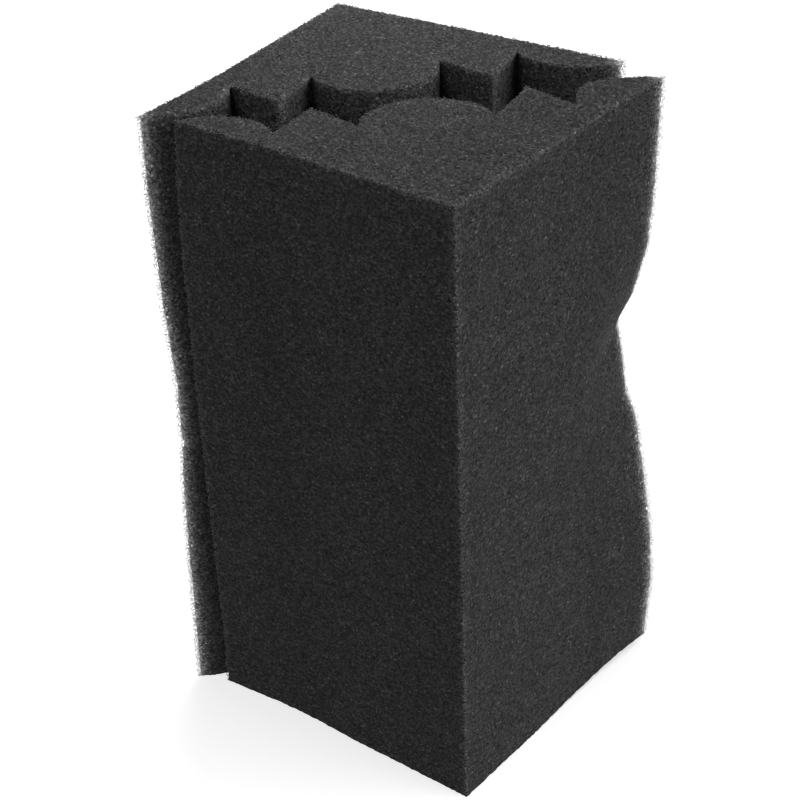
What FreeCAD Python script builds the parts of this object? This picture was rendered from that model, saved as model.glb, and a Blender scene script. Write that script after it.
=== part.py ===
import FreeCAD, Part
import math
import os

# A pair of loose foam corner blocks. Each block is a straight prism that stands on end: two flat faces
# meet in a right-angled edge, and the third, long face carries upright rounded lobes with sharp ridges
# between them. The blocks stand with their ridged faces towards each other, the rear one turned a little.
# Millimetres, +Z up, +Y from the front block to the rear one. The origin is on the surface that the
# blocks stand on, under the middle of the pair.

# Driving dimensions of one block, in its own frame: corner edge at the origin, long face across +Y
BLOCK_HEIGHT = 241.0
CREST_DISTANCE = 84.0  # from the right-angled edge to the plane that touches every lobe and ridge
GROOVE_DEPTH = 18.8  # from that plane down to the bottom of a groove
CREST_PITCH = 37.0  # along the long face, from a lobe's crest to the next ridge's crest
LOBE_HALF_WIDTH = 22.8  # half of a lobe's width at the groove bottoms

# Where the rear block stands, measured from the front block's right-angled edge
REAR_CORNER_X = -18.9
REAR_CORNER_Y = 177.6
REAR_TURN_DEG = 6.2  # away from facing the front block squarely

# Derived places along the profile
GROOVE_Y = CREST_DISTANCE - GROOVE_DEPTH
SIDE_LOBE_X = 2 * CREST_PITCH

UP = FreeCAD.Vector(0, 0, 1)


def at(x, y):
    """A point of the profile, on the base plane."""
    return FreeCAD.Vector(x, y, 0)


def side_lobe_end():
    """Angle on a side lobe's ellipse at which it meets the flat face, where y = x."""
    reach = SIDE_LOBE_X - GROOVE_Y
    lean = math.atan2(LOBE_HALF_WIDTH, GROOVE_DEPTH)
    return lean + math.asin(reach / math.hypot(LOBE_HALF_WIDTH, GROOVE_DEPTH))


def lobe(centre_x, start, end):
    """Rounded lobe: an arc of a half ellipse that rises from the groove bottoms to the crest plane."""
    ellipse = Part.Ellipse(at(centre_x, GROOVE_Y), LOBE_HALF_WIDTH, GROOVE_DEPTH)
    return Part.ArcOfEllipse(ellipse, start, end).toShape()


def ridge(side):
    """Sharp ridge between the middle lobe and a side lobe; side is +1 or -1."""
    crest = at(side * CREST_PITCH, CREST_DISTANCE)
    inner = at(side * LOBE_HALF_WIDTH, GROOVE_Y)
    outer = at(side * (SIDE_LOBE_X - LOBE_HALF_WIDTH), GROOVE_Y)
    return [Part.LineSegment(inner, crest).toShape(), Part.LineSegment(crest, outer).toShape()]


def block():
    """One block, extruded straight up from its profile."""
    end = side_lobe_end()
    tip = SIDE_LOBE_X + LOBE_HALF_WIDTH * math.cos(end)
    corner = at(0, 0)
    flats = [
        Part.LineSegment(corner, at(tip, tip)).toShape(),
        Part.LineSegment(corner, at(-tip, tip)).toShape(),
    ]
    lobes = [
        lobe(SIDE_LOBE_X, end, math.pi),
        lobe(0, 0, math.pi),
        lobe(-SIDE_LOBE_X, 0, math.pi - end),
    ]
    edges = flats + lobes + ridge(1) + ridge(-1)
    outline = Part.Wire(Part.__sortEdges__(edges))
    return Part.Face(outline).extrude(UP * BLOCK_HEIGHT)


def main():
    front = block()
    rear = block()
    rear.rotate(at(0, 0), UP, 180 + REAR_TURN_DEG)
    rear.translate(at(REAR_CORNER_X, REAR_CORNER_Y))

    pair_box = Part.makeCompound([front, rear]).optimalBoundingBox(False, False)
    to_origin = at(-pair_box.Center.x, -pair_box.Center.y)

    os.makedirs("parts", exist_ok=True)
    for name, shape in (("front_block", front), ("rear_block", rear)):
        shape.translate(to_origin)
        shape.exportStep(f"parts/{name}.step")


main()
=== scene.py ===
"""Two loose foam corner blocks, standing on end with their ridged faces towards each other.

Each block is one closed foam body, made from its CAD solid: cut into small cells, bent where the real thin
edges have been pushed in storage, and roughened. A web of fine struts runs along its cut edges, where the
open cells show against the light.
"""

import math
from collections import namedtuple

import bmesh
import bpy
import numpy as np
from mathutils import Matrix, Vector
from mathutils.kdtree import KDTree


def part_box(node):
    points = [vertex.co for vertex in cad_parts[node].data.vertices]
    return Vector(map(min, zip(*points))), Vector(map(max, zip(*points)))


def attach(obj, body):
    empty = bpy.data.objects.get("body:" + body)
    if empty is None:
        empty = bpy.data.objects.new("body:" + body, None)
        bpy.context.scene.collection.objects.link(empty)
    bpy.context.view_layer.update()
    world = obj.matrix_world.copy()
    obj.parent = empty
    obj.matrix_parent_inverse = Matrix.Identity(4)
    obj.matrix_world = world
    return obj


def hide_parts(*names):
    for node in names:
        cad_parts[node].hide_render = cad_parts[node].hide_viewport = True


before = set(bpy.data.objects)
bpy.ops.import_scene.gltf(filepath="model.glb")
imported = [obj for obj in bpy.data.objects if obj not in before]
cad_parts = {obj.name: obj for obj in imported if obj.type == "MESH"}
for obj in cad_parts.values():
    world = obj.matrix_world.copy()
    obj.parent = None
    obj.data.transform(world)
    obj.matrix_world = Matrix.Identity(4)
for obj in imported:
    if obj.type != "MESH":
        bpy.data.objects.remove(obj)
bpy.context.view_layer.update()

MM = 0.001
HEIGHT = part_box("front_block")[1].z

# A block's own frame: its right-angled edge stands on the origin, one flat face lies along +X, the other
# along +Y, and +Z is up. The thin flap at the end of the X face is the X flap, and the other the Y flap.
REAR_TURN = math.radians(6.2)  # the rear block's turn away from facing the front one squarely
LEG = 116.8 * MM  # width of a flat face

# Foam body
GRID = 1.24 * MM  # spacing of its surface points
JITTER = 0.15 * MM  # how far cut cells throw those points about
SWELL = 0.3 * MM  # slow unevenness of the cut faces
INSET = 0.15 * MM  # the body's surface lies this far under the struts' outer ends
CUT_SHARE = 0.85  # points behind a sharp edge move this share of the way, so that they stay apart
CELL_SHAPE = (1.0, 0.6, 1.0)  # cells per length: they are longer along Y, taken as the way the foam rose

# Sharp edges, by kind. The body is cut back behind an edge, and only a web of struts is left there. The tip
# that lies against the other block is its own kind, and gets none of the painted light through thin foam, as
# nothing stands behind it to shine through. For each kind: how far the body is cut back, how many struts'
# meeting places there are, and how deep in and far out the web goes.
EdgeCut = namedtuple("EdgeCut", "cut_back nodes_per_mm web_depth web_proud")
EDGE_CUTS = {
    "base": EdgeCut(0.0, 0.0, 0.0, 0.0),
    "rim": EdgeCut(0.5 * MM, 4.5, 0.9 * MM, 0.12 * MM),
    "ridge": EdgeCut(0.5 * MM, 4.5, 0.9 * MM, 0.12 * MM),
    "tip": EdgeCut(1.5 * MM, 12.0, 1.6 * MM, 0.45 * MM),
    "inner tip": EdgeCut(0.8 * MM, 6.0, 1.0 * MM, 0.2 * MM),
}
SharpEdge = namedtuple("SharpEdge", "start end inward slope kind")
SHARP_ANGLE = math.radians(25)  # faces that meet at more than this make a sharp edge

# Struts
WEB_SPREAD = 1.1  # how far across the wedge they meet, where 1 is its sides
STRUT_RADIUS = 0.08 * MM
STRUT_SPREAD = (0.8, 1.5)  # thinnest and thickest, in strut radii
STRUT_LENGTH = (0.2 * MM, 1.3 * MM)  # shortest and longest

# How quickly each painted light or shade of an edge dies away from it
PAINTED_TIP_GLOW_REACH = {"front_block": 1.45 * MM, "rear_block": 1.4 * MM}  # painted light through thin foam, a painted glow at the flaps' tips
PAINTED_RIM_LIGHT_REACH = 1.0 * MM  # painted light on the loose cells of a cut edge
PAINTED_RIDGE_LIGHT_REACH = 4.5 * MM  # painted light through a ridge from both of its sides
PAINTED_GROOVE_SHADE_REACH = 2.8 * MM  # painted shade at the bottom of a groove
PAINTED_FOLD_SHADE_REACH = 0.7 * MM  # painted shade in the buckled flap's sharp fold
TOP_SKIN = 0.6 * MM  # points this near the top are in the top face, clear of the painted light and shade of ridges and grooves

# How storage has set the flaps: (height, how far the tip is pushed inwards) in mm, less than 0 being outwards
FLAP_HINGE = 68 * MM  # from the right-angled edge to where a flap begins to bend
FRONT_X_SET = (
    (0, -3.2), (30, -5.6), (52, -4.7), (78, -0.9), (104, 4.0), (114, 8.8),
    (136, 12.3), (142, 14.3), (156, 7.2), (178, 1.0), (200, -1.1), (241, -3.0),
)
FRONT_Y_SET = ((0, -1.6), (25, -0.9), (60, -2.1), (120, -3.2), (190, -4.0), (220, -3.2), (241, -1.4))
REAR_X_SET = (
    (0, -1.9), (60, -1.4), (95, -0.4), (112, 0.8),
    (135, 1.2), (170, -1.8), (215, -3.4), (241, -3.4),
)

# The front block's X flap is buckled, and its other flat face is hollowed near the foot
BUCKLE_HEIGHT = 136 * MM
LIFT = 3.8 * MM  # the buckled flap is shorter, so its foot lifts
LIFT_START = 45 * MM  # along the face
LIFT_LENGTH = 55 * MM  # from there to where the lift is whole
TOP_RISE = 2.3 * MM  # the buckle also lifts that flap's top
RISE_LENGTH = 28 * MM  # from the hinge to where the rise is whole
TOP_SWELL = 3.5 * MM  # and it thickens the lobe there
LOBE_MIDDLE = 97 * MM  # along the face
LOBE_HALF_WIDTH = 19 * MM
TOP_DEPTH = 80 * MM  # how far down from the top the rise and the swell reach
CREASES = ((135 * MM, 1.7 * MM), (113 * MM, 1.0 * MM))  # height and depth of the soft folds across it
CREASE_WIDTH = 1.4 * MM
CREASE_ENDS = (48 * MM, 9 * MM)  # a crease fades out this far from the tip, and again this near it
FOLD = ((88, 137.5), (106, 138))  # a sharp fold on its flat face, in mm: along the face, and height
FOLD_DEPTH = 0.9 * MM
FOLD_WIDTH = 2 * MM
PAINTED_FOLD_SHADE_CORE = 0.4 * MM  # half the width of the darkest part of the painted shade
HOLLOW_DEPTH = 1.1 * MM
HOLLOW_MIDDLE = 84 * MM  # along the face
HOLLOW_SIZE = (45 * MM, 30 * MM, 20 * MM)  # how far it reaches along the face, up and into the foam

# The rear block's flaps are longer, and its X flap has a nick
REAR_X_EXTRA = 2.2 * MM
REAR_Y_EXTRA = 4.0 * MM
NICK_HEIGHT = 111 * MM
NICK_DEPTH = 1.2 * MM
NICK_WIDTH = 1.8 * MM


def block_to_row(node):
    """Matrix from a block's own frame to the row frame, found from its CAD node."""
    corners = [v.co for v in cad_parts[node].data.vertices]
    front = node == "front_block"
    edge = min(corners, key=lambda c: c.y) if front else max(corners, key=lambda c: c.y)
    turn = math.radians(45) if front else math.radians(225) + REAR_TURN
    return Matrix.Translation((edge.x, edge.y, 0)) @ Matrix.Rotation(turn, 4, "Z")


def cad_copy(node, to_row):
    """The CAD node's mesh in the block's own frame, with its split corners joined."""
    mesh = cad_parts[node].data.copy()
    mesh.transform(to_row.inverted())
    work = bmesh.new()
    work.from_mesh(mesh)
    bmesh.ops.remove_doubles(work, verts=work.verts, dist=0.001 * MM)
    work.to_mesh(mesh)
    work.free()
    return mesh


def edge_kind(node, edge):
    """Which kind of sharp edge of the block this is: a kind in EDGE_CUTS, or groove."""
    start, end = (v.co for v in edge.verts)
    if not edge.is_convex:
        return "groove"
    if max(start.z, end.z) < MM:
        return "base"
    if min(start.y, end.y) > LEG - MM and node == "front_block":
        return "inner tip"
    if min(start.x, end.x) > LEG - MM or min(start.y, end.y) > LEG - MM:
        return "tip"
    if min(start.x, start.y, end.x, end.y) > MM and abs(start.z - end.z) > MM:
        return "ridge"
    return "rim"


def sharp_edges(node, mesh):
    """A block's sharp edges, with the way into the foam and the slope of the wedge's sides."""
    work = bmesh.new()
    work.from_mesh(mesh)
    edges = []
    for edge in work.edges:
        turn = edge.calc_face_angle(0)
        if turn > SHARP_ANGLE:
            start, end = (v.co.copy() for v in edge.verts)
            inward = -(edge.link_faces[0].normal + edge.link_faces[1].normal).normalized()
            edges.append(SharpEdge(start, end, inward, 1 / math.tan(turn / 2), edge_kind(node, edge)))
    work.free()
    return edges


def along(edges, spacing=0.6 * MM):
    """Evenly spaced points along the edges, and the edge that each lies on."""
    points, owners = [], []
    for edge in edges:
        count = max(1, round((edge.end - edge.start).length / spacing))
        points += [edge.start.lerp(edge.end, (step + 0.5) / count) for step in range(count)]
        owners += [edge] * count
    return points, owners


def tree_of(points):
    """A search tree that finds the nearest of these points."""
    tree = KDTree(len(points))
    for index, point in enumerate(points):
        tree.insert(point, index)
    tree.balance()
    return tree


def nearest(points, targets):
    """For each point, which target is nearest and how far away it is."""
    tree = tree_of(targets)
    found = [tree.find(p) for p in points]
    return np.array([f[1] for f in found]), np.array([f[2] for f in found])


def fall_off(distance, reach):
    """1 at no distance, easing to 0 at reach."""
    near = np.clip(1 - distance / reach, 0, 1)
    return near * near * (3 - 2 * near)


def climb(value, start, length):
    """0 up to start, then growing evenly to 1 over that length."""
    return np.clip((value - start) / length, 0, 1)


def bump(distance, width):
    """A soft bump, 1 at no distance."""
    return np.exp(-((distance / width) ** 2))


def flap_share(along_face):
    """How much of a flap's bend a point takes: 0 up to the hinge, 1 at the tip."""
    return np.clip((along_face - FLAP_HINGE) / (LEG - FLAP_HINGE), 0, 1.1) ** 1.5


def tip_push(z, flap_set):
    """How far a flap's tip is pushed inwards at each height, with the corners of the set eased."""
    heights, pushes = np.array(flap_set).T * MM
    eased = [np.interp(z + step, heights, pushes) for step in (-2 * MM, -0.7 * MM, 0.7 * MM, 2 * MM)]
    return sum(eased) / len(eased)


def fold_distance(x, z):
    """How far each point is from the sharp fold, seen square on to the flat face."""
    start, end = np.array(FOLD) * MM
    run = end - start
    share = np.clip(((x - start[0]) * run[0] + (z - start[1]) * run[1]) / (run @ run), 0, 1)
    return np.hypot(x - start[0] - share * run[0], z - start[1] - share * run[1])


def bend_front(points):
    """The front block's X flap is buckled inwards above half height, and its Y flap bows outwards."""
    x, y, z = points.T
    push_y = flap_share(x) * tip_push(z, FRONT_X_SET)
    for height, depth in CREASES:
        across = fall_off(LEG - x, CREASE_ENDS[0]) - fall_off(LEG - x, CREASE_ENDS[1])
        push_y = push_y + depth * bump(z - height, CREASE_WIDTH) * across
    push_y = push_y + FOLD_DEPTH * fall_off(fold_distance(x, z), FOLD_WIDTH)

    away = (np.abs(y - HOLLOW_MIDDLE), z, x)
    hollow = np.prod([fall_off(distance, size) for distance, size in zip(away, HOLLOW_SIZE)], axis=0)
    push_x = flap_share(y) * tip_push(z, FRONT_Y_SET) + HOLLOW_DEPTH * hollow

    top = fall_off(HEIGHT - z, TOP_DEPTH)
    lobe = climb(y, 0, 8 * MM) * fall_off(np.abs(x - LOBE_MIDDLE), LOBE_HALF_WIDTH)
    push_y = push_y + TOP_SWELL * lobe * top
    lift = LIFT * climb(x, LIFT_START, LIFT_LENGTH) ** 1.3 * np.clip(1 - z / BUCKLE_HEIGHT, 0, 1)
    rise = TOP_RISE * climb(x, FLAP_HINGE, RISE_LENGTH) * top
    return np.stack([x + push_x, y + push_y, z + lift + rise], 1)


def bend_rear(points):
    """The rear block's flaps are longer, and its X flap is pushed in a little at mid-height."""
    x, y, z = points.T
    x_share, y_share = flap_share(x), flap_share(y)
    nick = NICK_DEPTH * bump(z - NICK_HEIGHT, NICK_WIDTH)
    push_y = x_share * (tip_push(z, REAR_X_SET) + nick)
    return np.stack([x + REAR_X_EXTRA * x_share, y + push_y + REAR_Y_EXTRA * y_share, z], 1)


def linked(name, mesh):
    """A new object of that mesh, in the scene."""
    piece = bpy.data.objects.new(name, mesh)
    bpy.context.scene.collection.objects.link(piece)
    return piece


def regrid(mesh):
    """The solid cut anew into an even grid of small quads, with its sharp edges kept."""
    solid = linked("solid", mesh)
    cells = solid.modifiers.new("cells", "REMESH")
    cells.mode = "SHARP"
    cells.octree_depth = 8
    cells.scale = HEIGHT / (GRID * 2**cells.octree_depth)
    graph = bpy.context.evaluated_depsgraph_get()
    result = bpy.data.meshes.new_from_object(solid.evaluated_get(graph))
    bpy.data.objects.remove(solid)
    return result


def vectors(collection, key):
    """One vector from each item of a mesh's collection, as an array."""
    flat = np.zeros(len(collection) * 3)
    collection.foreach_get(key, flat)
    return flat.reshape(-1, 3)


def swell(points, seed):
    """Slow unevenness, 10 to 40 mm across, between -1 and 1."""
    rng = np.random.default_rng(seed)
    total = np.zeros(len(points))
    for _ in range(9):
        wave = rng.normal(size=3) / (rng.uniform(10, 40) * MM) * 2
        total += np.sin(points @ wave + rng.uniform(0, 6.3))
    return total / 9


def store(mesh, name, values, repeat):
    """Keeps a number on every vertex of the mesh, each value for that many vertices in a row."""
    mesh.attributes.new(name, "FLOAT", "POINT").data.foreach_set("value", np.repeat(values, repeat))


def mark_edges(node, mesh, points, edges, repeat=1):
    """Stores each point's distance from every kind of sharp edge, in units of that kind's reach, for painting
    light and shade near those edges.

    Also stores 1 as ridged on the side with the lobes and ridges, and 0 elsewhere, where the foam paints
    light on the walls. A point that a painted effect doesn't touch gets a long distance.
    """
    marks = (
        ("rim", ("rim", "ridge", "tip", "inner tip"), PAINTED_RIM_LIGHT_REACH),
        ("tip", ("tip",), PAINTED_TIP_GLOW_REACH[node]),
        ("ridge", ("ridge",), PAINTED_RIDGE_LIGHT_REACH),
        ("groove", ("groove",), PAINTED_GROOVE_SHADE_REACH),
    )
    x, y, z = points.T
    on_top = z > HEIGHT - TOP_SKIN
    for name, kinds, reach in marks:
        distance = nearest(points, along([edge for edge in edges if edge.kind in kinds])[0])[1] / reach
        if name == "groove":
            distance /= np.clip(0.5 + (HEIGHT - z) / (10 * MM), 0, 1.8)  # the painted shade widens below the top, like a cast shadow
        if name in ("ridge", "groove"):
            distance[on_top] += 4  # almost nothing is left of the effect
        store(mesh, name, distance, repeat)
    fold = np.clip(fold_distance(x, z) - PAINTED_FOLD_SHADE_CORE, 0, None) / PAINTED_FOLD_SHADE_REACH
    fold[(y > 2 * MM) | (node == "rear_block")] = 30  # nothing at all is left
    store(mesh, "fold", fold, repeat)
    store(mesh, "ridged", np.where(on_top, 0, climb(np.minimum(x, y), 8 * MM, 4 * MM)), repeat)


def foam_body(node, mesh, edges, bend, seed):
    """The block's closed foam body, cut back at its sharp edges, bent and roughened."""
    rng = np.random.default_rng(seed)
    name = f"{node}_foam"
    mesh = regrid(mesh)
    mesh.name = name
    points = vectors(mesh.vertices, "co")
    normals = vectors(mesh.vertex_normals, "vector")

    places, owners = along([edge for edge in edges if edge.kind in EDGE_CUTS])
    index = nearest(points, places)[0]
    inward = np.array([owner.inward[:] for owner in owners])[index]
    cut = np.array([EDGE_CUTS[owner.kind].cut_back for owner in owners])[index]
    depth = ((points - np.array([place[:] for place in places])[index]) * inward).sum(1)
    points = points + inward * (CUT_SHARE * np.clip(cut - depth, 0, None))[:, None]
    mark_edges(node, mesh, points, edges)

    points = points + normals * (SWELL * swell(points, seed) - INSET)[:, None]
    points = bend(points + rng.uniform(-JITTER, JITTER, points.shape))
    points[:, 2] = np.clip(points[:, 2], 0, None)

    mesh.vertices.foreach_set("co", points.ravel())
    mesh.polygons.foreach_set("use_smooth", np.ones(len(mesh.polygons), bool))
    mesh.update()
    return linked(name, mesh)


def web_nodes(edges, rng):
    """Places where struts meet, scattered through the outer wedge of foam behind each cut edge."""
    nodes = []
    for start, end, inward, slope, kind in edges:
        if kind not in EDGE_CUTS:
            continue
        cut = EDGE_CUTS[kind]
        run = end - start
        side = run.cross(inward).normalized()
        count = rng.poisson(run.length / MM * cut.nodes_per_mm)
        places, depths = rng.random(count), rng.random(count)
        spreads = rng.uniform(-WEB_SPREAD, WEB_SPREAD, count)
        for place, depth, spread in zip(places, depths, spreads):
            inset = (cut.web_depth + cut.web_proud) * math.sqrt(depth) - cut.web_proud
            nodes.append(start + run * place + inward * inset + side * (spread * inset * slope))
    return np.array([node[:] for node in nodes])


def web_links(nodes):
    """Each node is joined to its three nearest neighbours, as in real open-cell foam."""
    tree = tree_of(nodes)
    links = set()
    for index, node in enumerate(nodes):
        for _, other, distance in tree.find_n(node, 4)[1:]:
            if STRUT_LENGTH[0] < distance < STRUT_LENGTH[1]:
                links.add((min(index, other), max(index, other)))
    return np.array(sorted(links))


def unit(arrows):
    """Each arrow at length 1."""
    return arrows / np.linalg.norm(arrows, axis=1)[:, None]


def strut_web(node, edges, bend, seed):
    """Fine three-sided struts, joined into one web along the block's cut edges."""
    rng = np.random.default_rng(seed)
    name = f"{node}_edge_struts"
    cut_nodes = web_nodes(edges, rng)
    links = web_links(cut_nodes)
    nodes = bend(cut_nodes)
    nodes[:, 2] = np.clip(nodes[:, 2], 2 * STRUT_RADIUS, None)
    starts, ends = nodes[links[:, 0]], nodes[links[:, 1]]
    run = unit(ends - starts)
    side = unit(np.cross(run, rng.normal(size=run.shape)))
    other = np.cross(run, side)

    rings = []
    for centre in (starts, ends):
        radius = STRUT_RADIUS * rng.uniform(*STRUT_SPREAD, len(centre))[:, None]
        for step in range(3):
            angle = math.tau * step / 3
            rings.append(centre + radius * (math.cos(angle) * side + math.sin(angle) * other))
    points = np.stack(rings, 1).reshape(-1, 3)
    pattern = ((0, 1, 4, 3), (1, 2, 5, 4), (2, 0, 3, 5), (2, 1, 0), (3, 4, 5))
    faces = [[6 * strut + corner for corner in face] for strut in range(len(links)) for face in pattern]
    mesh = bpy.data.meshes.new(name)
    mesh.from_pydata(points.tolist(), [], faces)
    mark_edges(node, mesh, cut_nodes[links.ravel()], edges, repeat=3)
    mesh.update()
    return linked(name, mesh)


class Nodes:
    """A material's node tree, with short calls for the nodes that the foam uses."""

    def __init__(self, name):
        self.material = bpy.data.materials.new(name)
        self.material.use_nodes = True
        self.tree = self.material.node_tree
        self.shader = self.tree.nodes["Principled BSDF"]
        place = self.tree.nodes.new("ShaderNodeTexCoord").outputs["Object"]
        self.place = self.put("ShaderNodeMapping", {"Vector": place, "Scale": CELL_SHAPE}).outputs[0]

    def put(self, kind, inputs=None, **settings):
        """Adds a node, sets its properties, and joins or sets its inputs."""
        node = self.tree.nodes.new(kind)
        for key, value in settings.items():
            setattr(node, key, value)
        for key, value in (inputs or {}).items():
            if isinstance(value, bpy.types.NodeSocket):
                self.tree.links.new(value, node.inputs[key])
            else:
                node.inputs[key].default_value = value
        return node

    def math(self, operation, first, second=0.0):
        """First and second combined by a maths operation."""
        return self.put("ShaderNodeMath", {0: first, 1: second}, operation=operation).outputs[0]

    def ramp(self, value, low, high, start=0.0, end=1.0):
        """Value eased from start to end as it goes from low to high."""
        inputs = {"Value": value, "From Min": low, "From Max": high, "To Min": start, "To Max": end}
        return self.put("ShaderNodeMapRange", inputs, interpolation_type="SMOOTHSTEP").outputs[0]

    def cells(self, size, feature="DISTANCE_TO_EDGE", output="Distance"):
        """Cells of about that size in metres: distance to the nearest wall, or a random colour."""
        inputs = {"Vector": self.place, "Scale": 1 / size}
        return self.put("ShaderNodeTexVoronoi", inputs, feature=feature).outputs[output]

    def noise(self, size, detail=2.0):
        """Soft noise whose features are about that size in metres."""
        inputs = {"Vector": self.place, "Scale": 1 / size, "Detail": detail}
        return self.put("ShaderNodeTexNoise", inputs).outputs["Fac"]

    def stored(self, name):
        """The number that the mesh's vertices hold under that name."""
        return self.put("ShaderNodeAttribute", attribute_name=name).outputs["Fac"]

    def near(self, name, strength):
        """Strength at that kind of edge, dying away from it by the distance stored on the mesh."""
        return self.math("MULTIPLY", self.math("POWER", 1 / math.e, self.stored(name)), strength)

    def darkened(self, value, name, strength):
        """Value less that share of itself at that kind of edge."""
        return self.math("MULTIPLY", value, self.math("SUBTRACT", 1.0, self.near(name, strength)))

    def join(self, output, key):
        """Feeds one of the shader's own sockets."""
        self.tree.links.new(output, self.shader.inputs[key])


def foam_material():
    """Charcoal open-cell foam: grains of cut cell ends over dark pores, painted glints, and painted light and
    shade at edges.
    """
    n = Nodes("charcoal foam")
    grain = n.put("ShaderNodeSeparateColor", {0: n.cells(0.66 * MM, "F1", "Color")}).outputs
    lit_end = n.math("POWER", grain[0], 2.0)
    # painted glints: a few random cells made much paler, standing in for struts that catch the light
    painted_glint = n.ramp(grain[1], 0.95, 1.0)
    walls = n.ramp(n.cells(1.5 * MM), 0.02, 0.2, 1.0, 0.0)
    mottle = n.ramp(n.noise(0.75 * MM, 1.0), 0.25, 0.75)
    cloud = n.ramp(n.noise(16 * MM), 0.3, 0.7, 0.94, 1.06)

    light = n.math("ADD", n.math("MULTIPLY", lit_end, 1.5), 0.05)
    light = n.math("ADD", light, n.math("MULTIPLY", walls, 0.3))
    light = n.math("ADD", light, n.math("MULTIPLY", mottle, 0.6))
    light = n.math("ADD", n.math("MULTIPLY", light, cloud), n.math("MULTIPLY", painted_glint, 2.4))
    # painted light: paler near cut edges, far paler near the thin flap tips as a painted glow, and paler
    # along ridges
    edge = n.math("ADD", n.near("rim", 1.5), n.math("ADD", n.near("tip", 40.0), n.near("ridge", 0.7)))
    # painted light on the walls of the ridged side, as if more light reached them
    ridged = n.math("MULTIPLY", n.stored("ridged"), 0.6)
    light = n.math("MULTIPLY", light, n.math("ADD", n.math("ADD", edge, ridged), 1.0))
    # painted shade at the bottom of the grooves
    light = n.darkened(light, "groove", 0.92)
    # painted shade in the buckled flap's sharp fold
    light = n.darkened(light, "fold", 0.5)
    tint = n.put("ShaderNodeCombineColor", {0: 0.0275, 1: 0.0275, 2: 0.0279}).outputs[0]
    colour = n.put("ShaderNodeVectorMath", {0: tint, "Scale": light}, operation="SCALE").outputs[0]
    n.join(colour, "Base Color")

    n.join(n.ramp(grain[2], 0.0, 1.0, 0.95, 0.7), "Roughness")
    n.shader.inputs["Specular IOR Level"].default_value = 0.12

    relief = n.math("ADD", n.math("ADD", lit_end, mottle), n.math("MULTIPLY", walls, 0.5))
    normal = n.put("ShaderNodeBump", {"Height": relief, "Strength": 0.4, "Distance": 0.4 * MM})
    n.join(normal.outputs[0], "Normal")
    return n.material


def strut_material():
    """Bare struts at the cut edges, with painted light: paler than the mass of the foam and palest at the
    flaps' tips.
    """
    n = Nodes("charcoal struts")
    # a random tone, made paler than the foam's mass as painted light on the cut edges
    strut_tone_and_light = n.ramp(n.noise(1.1 * MM), 0.35, 0.65, 0.085, 0.135)
    # painted glow of light through thin foam at the flaps' tips
    strut_tone_and_light = n.math("MULTIPLY", strut_tone_and_light, n.math("ADD", n.near("tip", 13.0), 1.0))
    # painted shade in the grooves
    strut_tone_and_light = n.darkened(strut_tone_and_light, "groove", 0.85)
    strut_tone_and_light = n.math("MINIMUM", strut_tone_and_light, 0.8)
    colour = n.put("ShaderNodeCombineColor", {0: strut_tone_and_light, 1: strut_tone_and_light, 2: n.math("MULTIPLY", strut_tone_and_light, 1.02)})
    n.join(colour.outputs[0], "Base Color")
    n.join(n.ramp(n.noise(0.6 * MM), 0.3, 0.7, 0.6, 0.9), "Roughness")
    n.shader.inputs["Specular IOR Level"].default_value = 0.15
    return n.material


def floor_material():
    """Plain white studio floor, lit from below like a light table."""
    n = Nodes("studio floor")
    tone = n.ramp(n.noise(400 * MM), 0.3, 0.7, 0.8, 0.82)
    colour = n.put("ShaderNodeCombineColor", {0: tone, 1: tone, 2: tone})
    n.join(colour.outputs[0], "Base Color")
    n.shader.inputs["Roughness"].default_value = 0.9
    n.shader.inputs["Specular IOR Level"].default_value = 0.1
    n.shader.inputs["Emission Color"].default_value = (1.0, 1.0, 1.0, 1.0)
    n.shader.inputs["Emission Strength"].default_value = 0.45
    return n.material


def build_block(node, body, bend, seed, foam, struts):
    """One block: its foam body and its strut web, both riding on the block's CAD body."""
    to_row = block_to_row(node)
    solid = cad_copy(node, to_row)
    edges = sharp_edges(node, solid)
    foam_piece = foam_body(node, solid, edges, bend, seed)
    web_piece = strut_web(node, edges, bend, seed + 1)
    for piece, material in ((foam_piece, foam), (web_piece, struts)):
        piece.data.transform(to_row)
        piece.data.materials.clear()
        piece.data.materials.append(material)
        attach(piece, body)
    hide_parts(node)


def add_light(name, lamp, toward):
    """A light in the scene. Toward is the direction from the object to the light."""
    light = bpy.data.objects.new(name, lamp)
    light.rotation_euler = Vector(toward).to_track_quat("Z", "Y").to_euler()
    bpy.context.scene.collection.objects.link(light)
    return light


def add_sun(name, toward, strength, spread):
    """A soft, far studio light. Spread is the angle that it fills in the sky, in degrees."""
    lamp = bpy.data.lights.new(name, "SUN")
    lamp.energy = strength
    lamp.angle = math.radians(spread)
    add_light(name, lamp, toward)


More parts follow.
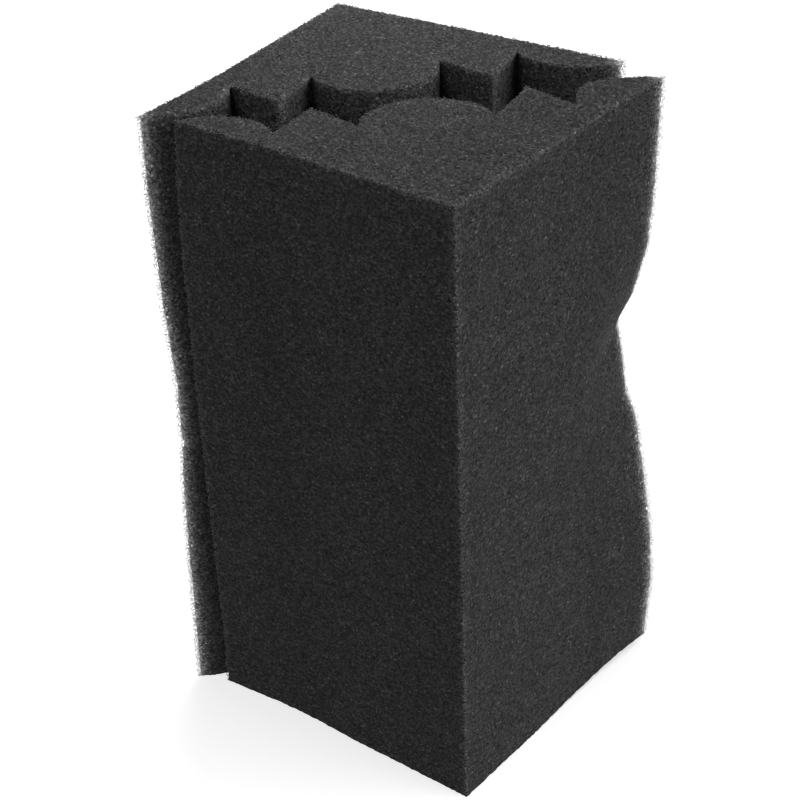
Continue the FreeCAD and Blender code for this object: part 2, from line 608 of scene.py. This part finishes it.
def add_panel(name, place, target, size, power):
    """A square soft light close to the blocks, which the camera doesn't see."""
    lamp = bpy.data.lights.new(name, "AREA")
    lamp.size = size
    lamp.energy = power
    light = add_light(name, lamp, Vector(place) - Vector(target))
    light.location = place
    light.visible_camera = False


def add_world(level):
    """Even light from all round."""
    world = bpy.data.worlds.new("studio")
    world.use_nodes = True
    world.node_tree.nodes["Background"].inputs["Color"].default_value = (1, 1, 1, 1)
    world.node_tree.nodes["Background"].inputs["Strength"].default_value = level
    bpy.context.scene.world = world


def add_floor(material, half=6.0):
    """A wide floor under the blocks, which throws no soft light back up at them."""
    mesh = bpy.data.meshes.new("floor")
    corners = [(-half, -half, 0), (half, -half, 0), (half, half, 0), (-half, half, 0)]
    mesh.from_pydata(corners, [], [(0, 1, 2, 3)])
    mesh.materials.append(material)
    floor = linked("floor", mesh)
    floor.visible_diffuse = False


def add_camera(place, azimuth, elevation, roll, lens):
    """A camera at that place. The angles are in degrees, and say where it stands as seen from the blocks."""
    azimuth, elevation, roll = (math.radians(angle) for angle in (azimuth, elevation, roll))
    camera = bpy.data.objects.new("camera", bpy.data.cameras.new("camera"))
    camera.data.lens = lens
    camera.data.sensor_width = 36.0
    look = Vector((
        -math.sin(azimuth) * math.cos(elevation),
        math.cos(azimuth) * math.cos(elevation),
        -math.sin(elevation),
    ))
    turn = look.to_track_quat("-Z", "Y").to_matrix() @ Matrix.Rotation(roll, 3, "Z")
    camera.matrix_world = Matrix.Translation(place) @ turn.to_4x4()
    bpy.context.scene.collection.objects.link(camera)
    bpy.context.scene.camera = camera


bpy.context.scene.view_settings.view_transform = "Standard"
foam = foam_material()
struts = strut_material()
build_block("front_block", "front", bend_front, seed=11, foam=foam, struts=struts)
build_block("rear_block", "rear", bend_rear, seed=21, foam=foam, struts=struts)

add_floor(floor_material())
add_world(0.28)
add_sun("overhead", toward=(-0.3, -0.45, 1.0), strength=1.05, spread=30)
add_sun("right side", toward=(1.0, -0.35, 0.35), strength=2.6, spread=60)
add_panel("rear top", place=(0.02, 0.24, 0.40), target=(0, 0.04, 0.24), size=0.2, power=0.6)
add_camera(place=(-0.0738, -0.6667, 0.5328), azimuth=-5.87, elevation=31.75, roll=-2.14, lens=95.3)
